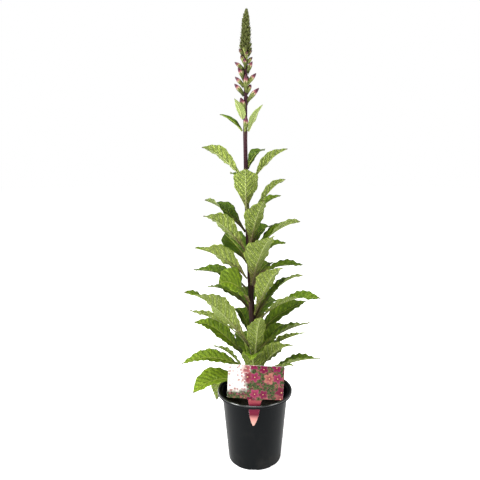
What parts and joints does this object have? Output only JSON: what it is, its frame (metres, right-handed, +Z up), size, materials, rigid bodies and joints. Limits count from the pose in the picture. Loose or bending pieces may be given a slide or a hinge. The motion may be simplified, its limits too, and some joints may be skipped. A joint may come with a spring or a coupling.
{
  "type": "potted foxglove plant",
  "caption": "Foxglove in bud: an upright flower spike over a leafy stem, growing in a round black nursery pot with a picture label.",
  "frame": {"origin": "centre of the pot's flat base, on the surface the pot stands on", "axes": "+Z up along the pot's axis and the plant, -Y towards the front, where the plant label faces, +X to the right seen from the front"},
  "size_m": [0.2584, 0.1761, 0.8129],
  "materials": {
    "black_plastic": "satin",
    "peat": "matte",
    "printed_card": "satin",
    "plum_stem": "satin",
    "leaf_green": "matte",
    "bract_green": "matte"
  },
  "bodies": {
    "root": {"pot": "black_plastic", "soil": "peat", "label": "printed_card", "flower_spike": "plum_stem", "leaf_01": "leaf_green", "leaf_02": "leaf_green", "leaf_03": "leaf_green", "leaf_04": "leaf_green", "leaf_05": "leaf_green", "leaf_06": "leaf_green", "leaf_07": "leaf_green", "leaf_08": "leaf_green", "leaf_09": "leaf_green", "leaf_10": "leaf_green", "leaf_11": "leaf_green", "leaf_12": "leaf_green", "leaf_13": "leaf_green", "leaf_14": "leaf_green", "leaf_15": "leaf_green", "leaf_16": "leaf_green", "leaf_17": "leaf_green", "leaf_18": "leaf_green", "leaf_19": "leaf_green", "leaf_20": "leaf_green", "leaf_21": "leaf_green", "leaf_22": "leaf_green", "leaf_23": "leaf_green", "leaf_24": "leaf_green", "leaf_25": "leaf_green", "leaf_26": "leaf_green", "leaf_27": "leaf_green", "leaf_28": "leaf_green", "leaf_29": "leaf_green", "leaf_30": "leaf_green", "leaf_31": "leaf_green", "leaf_32": "leaf_green", "leaf_33": "leaf_green", "leaf_34": "leaf_green", "leaf_35": "leaf_green", "leaf_36": "leaf_green", "leaf_37": "leaf_green", "leaf_38": "leaf_green", "leaf_39": "leaf_green", "leaf_40": "leaf_green", "leaf_41": "leaf_green", "leaf_42": "leaf_green", "leaf_43": "leaf_green", "leaf_44": "leaf_green", "leaf_45": "leaf_green", "leaf_46": "leaf_green", "bract_1": "bract_green", "bract_2": "bract_green", "bract_3": "bract_green"}
  },
  "joints": []
}
